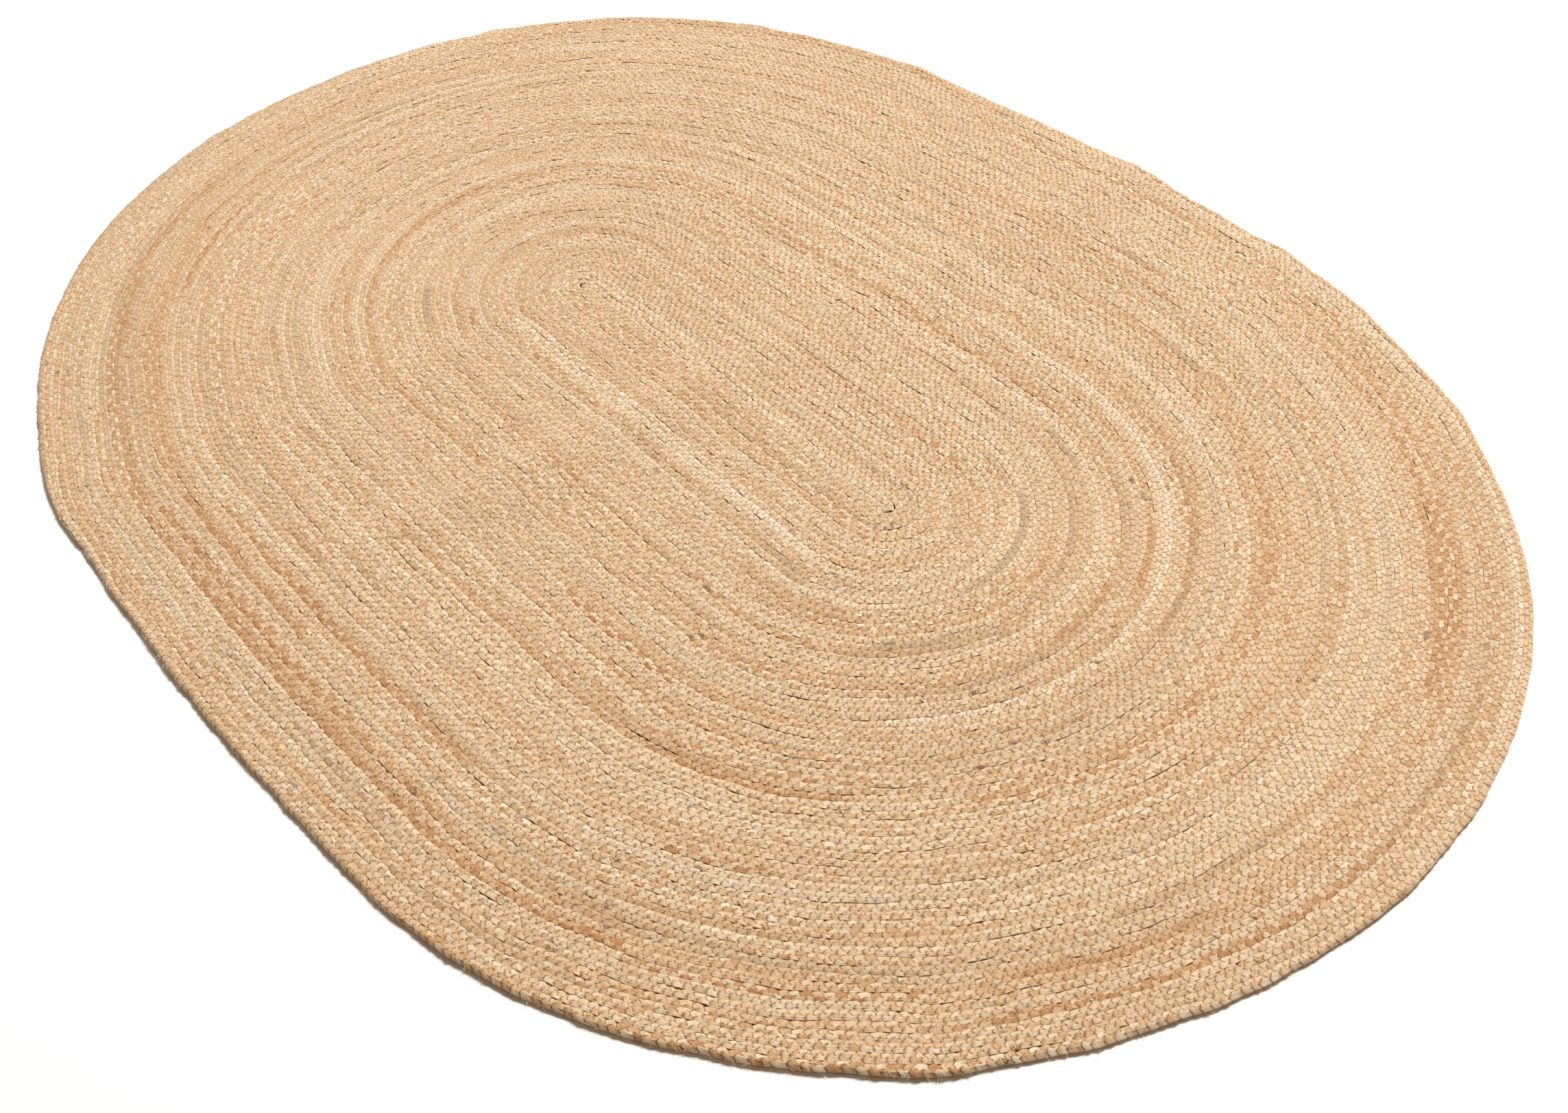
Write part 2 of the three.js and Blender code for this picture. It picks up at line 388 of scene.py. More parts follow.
def make_lobe():
    """One lobe of the left row, from the crease to the foot of the plait's edge, lying
    straight across. Its two long sides are the grooves to the lobes before and after it"""
    deselect_all()
    bpy.ops.mesh.primitive_grid_add(x_subdivisions=4, y_subdivisions=2, size=1)
    piece = bpy.context.object
    piece.name = "lobe"
    bpy.ops.transform.resize(value=(CELL_LENGTH, CELL_HALF_WIDTH, 1))
    bpy.ops.transform.translate(value=(CELL_LENGTH / 2, CELL_HALF_WIDTH / 2, 0))
    bpy.ops.object.transform_apply(location=True, rotation=True, scale=True)
    bpy.ops.object.mode_set(mode="EDIT")
    bpy.ops.mesh.select_mode(type="VERT")

    # Rows and columns of points: crease, middle and edge, and grooves and shoulders
    middle_y = CELL_HALF_WIDTH / 2
    first_shoulder_x = CELL_LENGTH / 4
    second_shoulder_x = 3 * CELL_LENGTH / 4

    def at_groove(co):
        return near(co.x, 0) or near(co.x, CELL_LENGTH)

    def at_shoulder(co):
        return near(co.x, first_shoulder_x) or near(co.x, second_shoulder_x)

    def at_edge(co):
        return co.y > (middle_y + CELL_HALF_WIDTH) / 2

    move_where(piece, lambda co: near(co.y, 0), (0, 0, CREASE_HEIGHT))
    move_where(piece, lambda co: near(co.y, middle_y), (0, 0, LOBE_HEIGHT))
    move_where(piece, at_edge, (0, 0, EDGE_HEIGHT))

    # Grooves at both sides of the lobe and its rounded shoulders
    move_where(
        piece,
        lambda co: near(co.y, middle_y) and at_groove(co),
        (0, 0, -LOBE_GROOVE_DEPTH),
    )
    for shoulder_x, shift in (
        (first_shoulder_x, -SHOULDER_SHIFT),
        (second_shoulder_x, SHOULDER_SHIFT),
    ):
        move_where(
            piece,
            lambda co: near(co.y, middle_y) and near(co.x, shoulder_x),
            (shift, 0, -LOBE_SHOULDER_DEPTH),
        )
    move_where(
        piece,
        lambda co: at_edge(co) and at_groove(co),
        (0, -EDGE_GROOVE_INSET, -EDGE_GROOVE_DEPTH),
    )

    # The edge needs only a point at each groove and at the middle of the lobe
    select_where(piece, lambda co: at_edge(co) and at_shoulder(co))
    bpy.ops.mesh.dissolve_verts()

    # The edge turns down and in to the foot, which needs only a point at each groove
    select_where(piece, at_edge)
    bpy.ops.mesh.extrude_region_move(
        TRANSFORM_OT_translate={
            "value": (0, FOOT_HALF_WIDTH - CELL_HALF_WIDTH, -EDGE_HEIGHT),
        },
    )
    move_where(
        piece,
        lambda co: co.z < TOUCHING and at_groove(co),
        (0, EDGE_GROOVE_INSET, EDGE_GROOVE_DEPTH),
    )
    select_where(piece, lambda co: near(co.z, 0) and near(co.x, CELL_LENGTH / 2))
    bpy.ops.mesh.dissolve_verts()
    bpy.ops.object.mode_set(mode="OBJECT")

    # The lobe slants forward from the crease to the edge
    places = places_of_points(piece.data)
    places[:, 0] += CHEVRON_SHEAR * places[:, 1] / CELL_HALF_WIDTH
    piece.data.vertices.foreach_set("co", places.ravel())
    return piece


def make_straight_plait(lobe):
    """A straight length of plait: the lobe, its mirror image half a cell further on, and
    as many copies of the two as a length needs"""
    bpy.ops.object.mode_set(mode="EDIT")
    bpy.ops.mesh.select_all(action="SELECT")
    bpy.ops.mesh.duplicate()
    bpy.ops.transform.resize(value=(1, -1, 1), center_override=(0, 0, 0))
    bpy.ops.mesh.flip_normals()
    bpy.ops.transform.translate(value=(CELL_LENGTH / 2, 0, 0))
    bpy.ops.object.mode_set(mode="OBJECT")

    row = lobe.modifiers.new("row", "ARRAY")
    row.count = cells_a_length
    row.use_relative_offset = False
    row.use_constant_offset = True
    row.constant_offset_displace = (CELL_LENGTH, 0, 0)
    bpy.ops.object.modifier_apply(modifier=row.name)

    bpy.ops.object.mode_set(mode="EDIT")
    bpy.ops.mesh.select_all(action="SELECT")
    bpy.ops.mesh.remove_doubles(threshold=TOUCHING)

    # The underside spans from foot to foot, and the two ends are closed
    select_where(lobe, lambda co: near(co.z, 0))
    bpy.ops.mesh.select_mode(type="EDGE")
    bpy.ops.mesh.bridge_edge_loops()
    bpy.ops.mesh.select_all(action="DESELECT")
    bpy.ops.mesh.select_mode(type="VERT")
    bpy.ops.mesh.select_non_manifold(use_wire=False, use_multi_face=False, use_verts=False)
    bpy.ops.mesh.fill_holes(sides=0)
    bpy.ops.mesh.select_all(action="SELECT")
    bpy.ops.mesh.normals_make_consistent(inside=False)

    # The lobes are soft, but the plait turns down sharply at its edges
    edge_y = CELL_HALF_WIDTH - EDGE_GROOVE_INSET - TOUCHING
    select_where(lobe, lambda co: abs(co.y) > edge_y and co.z > LOBE_HEIGHT / 2)
    bpy.ops.mesh.mark_sharp()
    bpy.ops.object.mode_set(mode="OBJECT")
    bpy.ops.object.shade_smooth()
    return lobe


straight_plait = make_straight_plait(make_lobe())

# Unevenness of each lobe, counted along the two rows of lobes, and of the plait as a whole
LOBE_RISE_SPREAD = 0.0005
LOBE_REACH_SPREAD = 0.0003
GROOVE_SHIFT_SPREAD = 0.13
CREASE_SWAY = 0.0011
CREASE_PIT_DEPTH = 0.0001
CREASE_WANDER_SPREAD = 0.0009
WANDER_KNOTS_APART = 9
PLAIT_SWAY_SPREAD = 0.00012
PLAIT_RISE_SPREAD = 0.0003
SWAY_KNOTS_APART = 4

# The free side of the outer lap starts past this share of its half width. Its edge is rounder
# than the sewn ones
FREE_SIDE_FROM = 0.6
FREE_EDGE_DROP = 0.0022

# Places on the map for the finish, where the crease is 0 and the sewn edge 1. The map of the
# free side is pressed together, so that none of the painted shade of a seam reaches it
FOOT_ON_MAP = 1.5
FREE_SIDE_ON_MAP = 0.6

# A point this near to the crease or a groove, as a share of the cell, counts as on it
ON_LINE = 1e-4

cells_in_all = cells_a_length * LENGTHS
outer_lap_cell = np.interp(OUTER_LAP_START, distances, cell_counts)


def knots_along(apart):
    """Cells where a drift along the plait takes its next value"""
    return np.arange(0, cells_in_all + apart + 2, apart)


lobe_rises = random.normal(0, LOBE_RISE_SPREAD, (2, cells_in_all + 2))
lobe_reaches = random.normal(0, LOBE_REACH_SPREAD, (2, cells_in_all + 2))
groove_shifts = random.normal(0, GROOVE_SHIFT_SPREAD, (2, cells_in_all + 2))
sway_knots = knots_along(SWAY_KNOTS_APART)
plait_sways = random.normal(0, PLAIT_SWAY_SPREAD, len(sway_knots))
plait_rises = random.normal(0, PLAIT_RISE_SPREAD, len(sway_knots))
wander_knots = knots_along(WANDER_KNOTS_APART)
crease_wanders = random.normal(0, CREASE_WANDER_SPREAD, len(wander_knots))

# Runs of strands that took another shade: lap, place round the rim where the run starts and
# ends, shade from -1 for pale to 1 for orange, share of khaki
DYED_RUNS = (
    (73, 0.80, 1.40, 0.5, 0.0),
    (71, 1.00, 1.30, 0.4, 0.0),
    (70, 0.70, 1.00, 0.0, 0.4),
    (69, 0.00, 0.60, -0.5, 0.2),
    (69, 1.40, 2.20, 1.0, 0.0),
    (69, 2.20, 3.10, 0.5, 0.0),
    (69, 3.25, 3.40, 0.7, 0.2),
    (68, 0.00, 0.70, -0.5, 0.2),
    (68, 1.40, 2.70, -0.7, 0.2),
    (68, 3.40, 3.76, 0.6, 0.0),
    (67, 0.00, 1.30, -0.6, 0.1),
    (66, 0.00, 0.50, -0.6, 0.0),
    (66, 1.00, 1.35, 0.8, 0.1),
    (66, 1.40, 3.10, 0.5, 0.0),
    (65, 0.00, 1.00, 0.9, 0.0),
    (65, 1.45, 1.70, 0.7, 0.2),
    (65, 2.20, 2.60, 0.5, 0.0),
    (64, 0.00, 1.30, 0.5, 0.0),
    (64, 2.20, 3.10, 0.6, 0.0),
    (64, 5.40, 6.34, 0.6, 0.0),
    (63, 0.00, 1.00, 1.0, 0.0),
    (63, 2.30, 2.60, 0.5, 0.0),
    (63, 5.70, 6.34, 0.8, 0.1),
    (62, 0.80, 1.15, 0.2, 0.4),
    (61, 1.60, 1.90, 0.1, 0.5),
    (60, 0.00, 0.35, 1.0, 0.0),
    (59, 2.40, 3.20, -0.6, 0.0),
    (59, 5.20, 6.30, 1.0, 0.0),
    (58, 1.50, 2.40, -0.3, 0.3),
    (57, 0.06, 0.65, 0.9, 0.0),
    (57, 3.25, 3.35, 0.6, 0.3),
    (56, 0.00, 0.20, -0.6, 0.0),
    (56, 2.60, 3.00, 0.4, 0.0),
    (56, 5.40, 5.75, 0.8, 0.0),
    (54, 2.60, 2.95, 0.8, 0.0),
    (54, 3.20, 3.60, 0.4, 0.0),
    (53, 0.15, 0.25, 0.8, 0.0),
    (53, 0.96, 1.14, 0.8, 0.1),
    (52, 2.10, 2.40, 0.5, 0.0),
    (51, 0.00, 0.35, -0.5, 0.0),
    (49, 2.40, 3.15, -0.6, 0.0),
    (48, 2.20, 2.50, 0.4, 0.0),
    (48, 2.90, 3.00, 0.9, 0.1),
    (47, 0.00, 0.35, -0.7, 0.0),
    (47, 3.00, 3.15, 0.2, 0.8),
    (44, 1.45, 2.05, 0.8, 0.0),
    (43, 0.00, 0.85, 0.7, 0.0),
    (43, 0.85, 1.25, 0.9, 0.0),
    (43, 2.05, 2.70, 0.5, 0.0),
    (43, 3.25, 3.33, 0.8, 0.0),
    (42, 0.66, 1.10, 0.7, 0.0),
    (42, 5.90, 6.05, 0.8, 0.0),
    (41, 0.00, 0.60, -0.6, 0.0),
    (41, 1.20, 2.40, -0.4, 0.2),
    (40, 0.70, 3.00, -0.4, 0.1),
    (39, 1.30, 3.00, -0.4, 0.0),
    (38, 1.65, 1.80, 0.3, 0.5),
    (36, 0.00, 0.50, 0.4, 0.0),
    (36, 2.10, 2.25, 0.6, 0.5),
    (36, 2.25, 3.40, 0.6, 0.0),
    (35, 0.50, 0.75, 0.9, 0.0),
    (35, 1.20, 1.35, 0.5, 0.0),
    (35, 2.82, 3.20, 0.8, 0.0),
    (35, 5.85, 6.34, 0.5, 0.0),
    (34, 0.60, 1.10, 0.5, 0.0),
    (34, 2.50, 3.00, -0.6, 0.0),
    (34, 5.60, 6.34, 0.5, 0.0),
    (33, 0.00, 0.20, -0.7, 0.0),
    (33, 1.30, 3.80, -0.9, 0.0),
    (32, 0.00, 0.70, -0.6, 0.0),
    (32, 1.50, 2.20, 0.3, 0.3),
    (32, 2.25, 3.60, -1.0, 0.0),
    (31, 1.06, 1.15, 0.8, 0.0),
    (31, 2.20, 2.50, 0.6, 0.0),
    (31, 3.40, 4.10, -0.7, 0.0),
    (31, 4.60, 6.34, -0.9, 0.0),
    (30, 0.00, 0.25, 0.5, 0.0),
    (30, 3.85, 4.55, -0.7, 0.0),
    (30, 4.55, 5.30, 0.4, 0.3),
    (29, 0.00, 0.25, 0.4, 0.0),
    (29, 1.35, 2.00, 0.1, 0.6),
    (29, 3.70, 6.34, 0.5, 0.0),
    (28, 1.90, 2.20, 0.7, 0.0),
    (28, 4.70, 6.34, 0.4, 0.1),
    (27, 0.00, 0.50, 0.4, 0.2),
    (27, 3.10, 3.85, 0.4, 0.1),
    (26, 0.60, 0.85, 0.4, 0.3),
    (24, 1.75, 1.85, 0.7, 0.3),
    (24, 2.80, 3.05, 0.0, 0.7),
    (24, 4.20, 4.45, 0.5, 0.2),
    (23, 1.10, 1.80, 0.0, 0.6),
    (22, 1.25, 1.60, 0.1, 0.8),
    (21, 5.75, 6.05, 0.0, 0.8),
    (20, 2.05, 2.25, 0.7, 0.1),
    (18, 0.60, 1.20, 0.3, 0.3),
    (18, 1.60, 2.05, 0.6, 0.1),
    (17, 0.60, 1.10, 0.2, 0.3),
    (17, 5.80, 6.25, 0.5, 0.3),
    (16, 1.40, 1.75, 0.1, 0.5),
    (16, 1.75, 2.70, 0.0, 1.0),
    (15, 0.65, 0.80, 0.3, 0.8),
    (15, 2.75, 3.15, 0.0, 0.7),
    (15, 6.00, 6.20, 0.9, 0.0),
    (14, 0.60, 0.70, 0.2, 0.6),
    (14, 0.80, 2.50, -0.6, 0.0),
    (12, 0.80, 3.00, -0.4, 0.0),
    (11, 0.00, 0.70, -1.0, 0.0),
    (10, 3.00, 3.15, 0.8, 0.1),
)
RUN_FADE = 0.03
ORANGE_STRENGTH = 0.75
PALE_STRENGTH = 0.5
KHAKI_STRENGTH = 0.75

# The three strands drift between shades along the plait, each for itself, on long and short
# waves, and some khaki drifts in and out. Knots are a number of cells apart
SHADE_KNOTS_APART = (40, 7)
SHADE_SPREADS = (0.23, 0.09)
KHAKI_KNOTS_APART = 45
KHAKI_SPREAD = 0.20

# Of each dyed run, every strand took a share between these
STRAND_TAKES = (0.00, 1.20)

strand_shades = np.zeros((STRANDS, cells_in_all + 2))
all_cells = np.arange(cells_in_all + 2)
for apart, spread in zip(SHADE_KNOTS_APART, SHADE_SPREADS):
    knots = knots_along(apart)
    for strand in range(STRANDS):
        shades = random.normal(0, spread, len(knots))
        strand_shades[strand] += np.interp(all_cells, knots, shades)
strand_takes = random.uniform(*STRAND_TAKES, (STRANDS, len(DYED_RUNS)))
khaki_knots = knots_along(KHAKI_KNOTS_APART)
khaki_drifts = random.normal(0, KHAKI_SPREAD, len(khaki_knots))


def dye_plait(mesh, cell, distance):
    """Shades of the three strands at each point as the red, green and blue of a colour
    attribute, 0.5 for the common tan, and the share of khaki as its alpha"""
    lap, side, share = place_along(distance)
    around = SIDE_STARTS[side] + SIDE_LENGTHS[side] * share
    shades = np.stack([np.interp(cell, all_cells, row) for row in strand_shades], axis=1)
    khaki = np.clip(np.interp(cell, khaki_knots, khaki_drifts), 0, None)
    for run, (run_lap, start, end, shade, khaki_share) in enumerate(DYED_RUNS):
        inside = (
            smooth((around - start) / RUN_FADE + 0.5)
            * smooth((end - around) / RUN_FADE + 0.5)
            * (lap == run_lap)
        )
        strength = ORANGE_STRENGTH if shade > 0 else PALE_STRENGTH
        shades += inside[:, None] * shade * strength * strand_takes[:, run]
        khaki += inside * khaki_share * KHAKI_STRENGTH
    dye = mesh.color_attributes.new("dye", "FLOAT_COLOR", "POINT")
    values = np.concatenate((0.5 + 0.5 * shades, khaki[:, None]), axis=1)
    dye.data.foreach_set("color", np.clip(values, 0, 1).ravel())


def map_plait(mesh, in_row, across):
    """A map for the finish: U counts the lobes along their own row, and V is the place
    across, from the crease at 0 outward, less than 0 in the right row of lobes"""
    corner_points = np.empty(len(mesh.loops), dtype=np.int32)
    mesh.loops.foreach_get("vertex_index", corner_points)
    corner_counts = np.empty(len(mesh.polygons), dtype=np.int32)
    mesh.polygons.foreach_get("loop_total", corner_counts)
    middles = np.empty(3 * len(mesh.polygons))
    mesh.polygons.foreach_get("center", middles)
    in_right_row = np.repeat(middles[1::3] < 0, corner_counts)
    u = in_row[corner_points]
    v = across[corner_points]
    u -= 0.5 * ((np.abs(v) < ON_LINE) & in_right_row)
    plait_map = mesh.uv_layers.new(name="plait")
    pattern = np.stack((u, v), axis=1).ravel()
    plait_map.uv.foreach_set("vector", pattern.astype(np.float32))


def lay_length(number):
    """A copy of the straight plait, made uneven lobe by lobe and laid on the coil"""
    deselect_all()
    straight_plait.select_set(True)
    bpy.context.view_layer.objects.active = straight_plait
    bpy.ops.object.duplicate()
    piece = bpy.context.object
    piece.name = f"plait_length_{number + 1:02d}"
    mesh = piece.data
    mesh.name = piece.name
    straight = places_of_points(mesh)
    across = straight[:, 1] / CELL_HALF_WIDTH
    cell = straight[:, 0] / CELL_LENGTH
    off_floor = straight[:, 2] > TOUCHING
    at_crease = np.abs(across) < ON_LINE
    on_lobe = off_floor & ~at_crease

    row = (across < 0).astype(int)
    in_row = cell - CHEVRON_SHEAR / CELL_LENGTH * np.abs(across) - 0.5 * row
    cell = cell + number * cells_a_length
    free_side = (cell > outer_lap_cell) & (across < -FREE_SIDE_FROM)
    on_map = np.where(off_floor, across, FOOT_ON_MAP * np.sign(across))
    map_plait(mesh, in_row, np.where(free_side, FREE_SIDE_ON_MAP * on_map, on_map))

    in_row = in_row + number * cells_a_length
    lobe = np.clip(np.floor(in_row + ON_LINE), 0, cells_in_all).astype(int)
    groove = np.clip(np.round(in_row), 0, cells_in_all).astype(int)
    bulge = np.sin(np.pi * in_row) ** 2

    wave = np.cos(2 * np.pi * cell)
    crease_sway = CREASE_SWAY * wave * at_crease
    crease_pit = CREASE_PIT_DEPTH * wave ** 2 * at_crease
    wander = np.interp(cell, wander_knots, crease_wanders) * (1 - np.abs(across))
    reach = lobe_reaches[row, lobe] * bulge * on_lobe * across
    sway = np.interp(cell, sway_knots, plait_sways)
    rise = lobe_rises[row, lobe] * bulge * on_lobe
    rise += np.interp(cell, sway_knots, plait_rises) * off_floor
    rise -= FREE_EDGE_DROP * (free_side & off_floor)
    cell = cell + groove_shifts[row, groove] * (1 - bulge) * on_lobe

    # The plait starts with a round end
    distance = np.interp(cell, cell_counts, distances)
    start = np.clip((distance + PLAIT_WIDTH / 2) / (PLAIT_WIDTH / 2), 0, 1)
    rounding = np.sqrt(1 - (1 - start) ** 2)
    leftward = (straight[:, 1] + crease_sway + wander + reach) * rounding + sway
    height = (straight[:, 2] + rise - crease_pit) * (0.5 + 0.5 * rounding)
    places = laid(distance, -leftward, height)
    mesh.vertices.foreach_set("co", places.ravel())
    mesh.update()
    dye_plait(mesh, cell, distance)
    return piece


plait_lengths = [lay_length(number) for number in range(LENGTHS)]
bpy.data.objects.remove(straight_plait)


# Jute fibre, retted, spun slack and plaited dry: matt and golden, with satin fibres that run
# along each lobe, their pale streaks partly painted highlight, a brown painted shade in the
# grooves, crease and seams, and dark bits of bark
def linear(hex_colour):
    """An sRGB colour as the linear one that a node takes, with full alpha"""
    parts = [int(hex_colour[i:i + 2], 16) / 255 for i in (1, 3, 5)]
    curve = [p / 12.92 if p <= 0.04045 else ((p + 0.055) / 1.055) ** 2.4 for p in parts]
    return (*curve, 1.0)


def new_finish(name):
    material = bpy.data.materials.new(name)
    material.use_nodes = True
    material.node_tree.nodes.clear()
    return material


def add_node(material, kind, settings=None, inputs=None):
    """Adds a node, sets its properties, and sets or links its inputs by name or number"""
    node = material.node_tree.nodes.new(kind)
    for name, value in (settings or {}).items():
        setattr(node, name, value)
    for socket, value in (inputs or {}).items():
        if isinstance(value, bpy.types.NodeSocket):
            material.node_tree.links.new(value, node.inputs[socket])
        else:
            node.inputs[socket].default_value = value
    return node


LOBE_LENGTH = math.hypot(CHEVRON_SHEAR, CELL_HALF_WIDTH)
LOBE_WIDTH = CELL_LENGTH * CELL_HALF_WIDTH / LOBE_LENGTH

# Shades of jute from pale to orange. 0.5 is the common tan
JUTE_SHADES = (
    (0.00, "#EEE2CE"),
    (0.25, "#E6D2B4"),
    (0.50, "#DABE9B"),
    (0.75, "#CCA375"),
    (1.00, "#B87F4F"),
)
KHAKI = "#B79F7E"
# Brown painted as shade in the grooves, the crease and the seams
GROOVE_SHADE_BROWN = "#8F6034"
BARK_BROWN = "#755A43"

# Real jute fibres are 0.1 mm thick. They are drawn as bundles, which show from a step away
FIBRE_WIDTH = 0.0008
FIBRE_LENGTH = 0.0080
# The fibre streaks in the colour are partly the fibres' own tone and partly painted highlight
FIBRE_CONTRAST = 1.3
FIBRE_RELIEF = 0.0006
FIBRE_NOISE_STEP = 7.3
LOBE_CONTRAST = 0.16
BLOTCH_SIZE = 0.003

# How far the painted shade, a brown, reaches from a groove, as a share of the cell, and from
# the crease and the seam, as a share of the half width. Blotches make it uneven
GROOVE_SHARE = 0.16
CREASE_SHARE = 0.08
SEAM_SHARE = 0.18
SEAM_BROWN = 0.9
LEAST_BROWN = 0.4
LEAST_BROWN_TO, FULL_BROWN_FROM = 0.30, 0.60

# Bark keeps to patches of the rug, and there to the top of this share of the lobes at most.
# The limits are places in the noise of the patches and of the blotches
BARK_CHANCE = 0.012
BARK_PATCH_SIZE = 0.25
NO_BARK_TO, MOST_BARK_FROM = 0.5, 0.8
BARK_BIT_FROM, BARK_BIT_FULL_FROM = 0.44, 0.50
BARK_FROM_GROOVE = 0.2
BARK_COVER = 0.9
BARK_NOISE_ROW = 5.0

jute = new_finish("plaited jute")

# Which lobe a point is on, and where on it
plait_map = add_node(jute, "ShaderNodeUVMap", {"uv_map": "plait"})
map_parts = add_node(jute, "ShaderNodeSeparateXYZ", inputs={0: plait_map.outputs[0]})
along_row = map_parts.outputs[0]
from_crease = add_node(
    jute, "ShaderNodeMath", {"operation": "ABSOLUTE"}, {0: map_parts.outputs[1]},
).outputs[0]
right_row = add_node(
    jute, "ShaderNodeMath", {"operation": "LESS_THAN"}, {0: map_parts.outputs[1], 1: 0.0},
).outputs[0]
lobe_in_row = add_node(
    jute, "ShaderNodeMath", {"operation": "FLOOR"}, {0: along_row},
).outputs[0]
lobe_share = add_node(
    jute, "ShaderNodeMath", {"operation": "FRACT"}, {0: along_row},
).outputs[0]
lobe_count = add_node(
    jute,
    "ShaderNodeMath",
    {"operation": "MULTIPLY_ADD"},
    {0: lobe_in_row, 1: 2.0, 2: right_row},
).outputs[0]
strand = add_node(
    jute, "ShaderNodeMath", {"operation": "FLOORED_MODULO"}, {0: lobe_count, 1: STRANDS},
).outputs[0]

# Shade of the strand that the lobe is made of
dye = add_node(jute, "ShaderNodeVertexColor", {"layer_name": "dye"})
dye_parts = add_node(jute, "ShaderNodeSeparateColor", inputs={0: dye.outputs["Color"]})
khaki_share = dye.outputs["Alpha"]
past_first = add_node(
    jute, "ShaderNodeMath", {"operation": "GREATER_THAN"}, {0: strand, 1: 0.5},
).outputs[0]
past_second = add_node(
    jute, "ShaderNodeMath", {"operation": "GREATER_THAN"}, {0: strand, 1: 1.5},
).outputs[0]
first_or_second = add_node(
    jute,
    "ShaderNodeMix",
    inputs={"Factor": past_first, "A": dye_parts.outputs[0], "B": dye_parts.outputs[1]},
).outputs[0]
strand_shade = add_node(
    jute,
    "ShaderNodeMix",
    inputs={"Factor": past_second, "A": first_or_second, "B": dye_parts.outputs[2]},
).outputs[0]
lobe_chance = add_node(
    jute, "ShaderNodeTexWhiteNoise", {"noise_dimensions": "1D"}, {"W": lobe_count},
).outputs["Value"]

# Fibres that run along the lobe, each lobe in its own place of the noise, and blotches
across_lobe = add_node(
    jute,
    "ShaderNodeMath",
    {"operation": "MULTIPLY"},
    {0: lobe_share, 1: LOBE_WIDTH / FIBRE_WIDTH},
).outputs[0]
along_lobe = add_node(
    jute,
    "ShaderNodeMath",
    {"operation": "MULTIPLY"},
    {0: from_crease, 1: LOBE_LENGTH / FIBRE_LENGTH},
).outputs[0]
own_place = add_node(
    jute,
    "ShaderNodeMath",
    {"operation": "MULTIPLY"},
    {0: lobe_count, 1: FIBRE_NOISE_STEP},
).outputs[0]
fibre_place = add_node(
    jute,
    "ShaderNodeCombineXYZ",
    inputs={0: across_lobe, 1: along_lobe, 2: own_place},
).outputs[0]
fibres = add_node(
    jute,
    "ShaderNodeTexNoise",
    inputs={"Vector": fibre_place, "Scale": 1.0, "Detail": 2.0, "Roughness": 0.6},
).outputs[0]
spot = add_node(jute, "ShaderNodeTexCoord").outputs["Object"]
blotches = add_node(
    jute,
    "ShaderNodeTexNoise",
    inputs={"Vector": spot, "Scale": 1 / BLOTCH_SIZE, "Detail": 1.0, "Roughness": 0.5},
).outputs[0]

lobe_shade = add_node(
    jute,
    "ShaderNodeMath",
    {"operation": "MULTIPLY_ADD"},
    {0: lobe_chance, 1: LOBE_CONTRAST, 2: strand_shade},
).outputs[0]
# Fibre streaks lighten and darken the shade: partly own tone, partly painted highlight
fibre_tone_and_highlight = add_node(
    jute,
    "ShaderNodeMath",
    {"operation": "MULTIPLY_ADD"},
    {0: fibres, 1: -FIBRE_CONTRAST, 2: lobe_shade},
).outputs[0]
shade = add_node(
    jute,
    "ShaderNodeMath",
    {"operation": "ADD"},
    {0: fibre_tone_and_highlight, 1: (FIBRE_CONTRAST - LOBE_CONTRAST) / 2},
).outputs[0]
shades = add_node(jute, "ShaderNodeValToRGB", inputs={0: shade})
while len(shades.color_ramp.elements) < len(JUTE_SHADES):
    shades.color_ramp.elements.new(0.5)
for element, (place, colour) in zip(shades.color_ramp.elements, JUTE_SHADES):
    element.position = place
    element.color = linear(colour)
dyed = add_node(
    jute,
    "ShaderNodeMix",
    {"data_type": "RGBA", "blend_type": "MIX"},
    {"Factor": khaki_share, 6: shades.outputs[0], 7: linear(KHAKI)},
).outputs[2]

# Painted shade: the grooves between the lobes, the crease and the seams are painted browner
# for the shade that falls in them, and not evenly so
from_groove = add_node(
    jute, "ShaderNodeMath", {"operation": "PINGPONG"}, {0: along_row, 1: 0.5},
).outputs[0]
in_groove = add_node(
    jute,
    "ShaderNodeMapRange",
    {"interpolation_type": "SMOOTHSTEP"},
    {0: from_groove, 1: 0.0, 2: GROOVE_SHARE, 3: 1.0, 4: 0.0},
).outputs[0]
in_crease = add_node(
    jute,
    "ShaderNodeMapRange",
    {"interpolation_type": "SMOOTHSTEP"},
    {0: from_crease, 1: 0.0, 2: CREASE_SHARE, 3: 1.0, 4: 0.0},
).outputs[0]
in_seam = add_node(
    jute,
    "ShaderNodeMapRange",
    {"interpolation_type": "SMOOTHSTEP"},
    {0: from_crease, 1: 1.0 - SEAM_SHARE, 2: 1.0, 3: 0.0, 4: SEAM_BROWN},
).outputs[0]
groove_or_crease = add_node(
    jute, "ShaderNodeMath", {"operation": "MAXIMUM"}, {0: in_groove, 1: in_crease},
).outputs[0]
in_low_place = add_node(
    jute, "ShaderNodeMath", {"operation": "MAXIMUM"}, {0: groove_or_crease, 1: in_seam},
).outputs[0]
# Blotches make the painted shade stronger in some places than in others
shade_unevenness = add_node(
    jute,
    "ShaderNodeMapRange",
    inputs={0: blotches, 1: LEAST_BROWN_TO, 2: FULL_BROWN_FROM, 3: LEAST_BROWN, 4: 1.0},
).outputs[0]
painted_shade_share = add_node(
    jute, "ShaderNodeMath", {"operation": "MULTIPLY"}, {0: in_low_place, 1: shade_unevenness},
).outputs[0]
with_painted_groove_shade = add_node(
    jute,
    "ShaderNodeMix",
    {"data_type": "RGBA", "blend_type": "MIX"},
    {"Factor": painted_shade_share, 6: dyed, 7: linear(GROOVE_SHADE_BROWN)},
).outputs[2]

